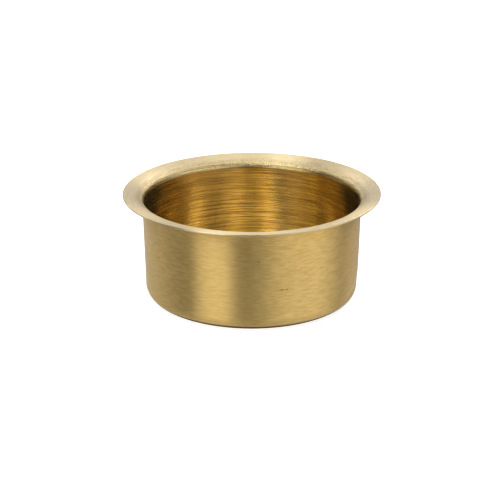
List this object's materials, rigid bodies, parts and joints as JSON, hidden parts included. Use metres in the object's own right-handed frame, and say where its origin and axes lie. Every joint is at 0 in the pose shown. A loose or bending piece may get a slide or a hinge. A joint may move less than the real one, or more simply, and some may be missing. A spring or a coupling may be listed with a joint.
{
  "type": "shaving bowl",
  "caption": "Round, straight-sided brass bowl with a flat base and a broad out-turned lip, for working up shaving lather with a brush.",
  "frame": {"origin": "centre of the base, on the surface that the bowl stands on", "axes": "+Z along the bowl's axis, up out of its mouth; the bowl is round, so X and Y are any two directions across it"},
  "size_m": [0.1, 0.1, 0.0422],
  "materials": {
    "brass": "brushed"
  },
  "bodies": {
    "root": {"bowl": "brass"}
  },
  "joints": []
}
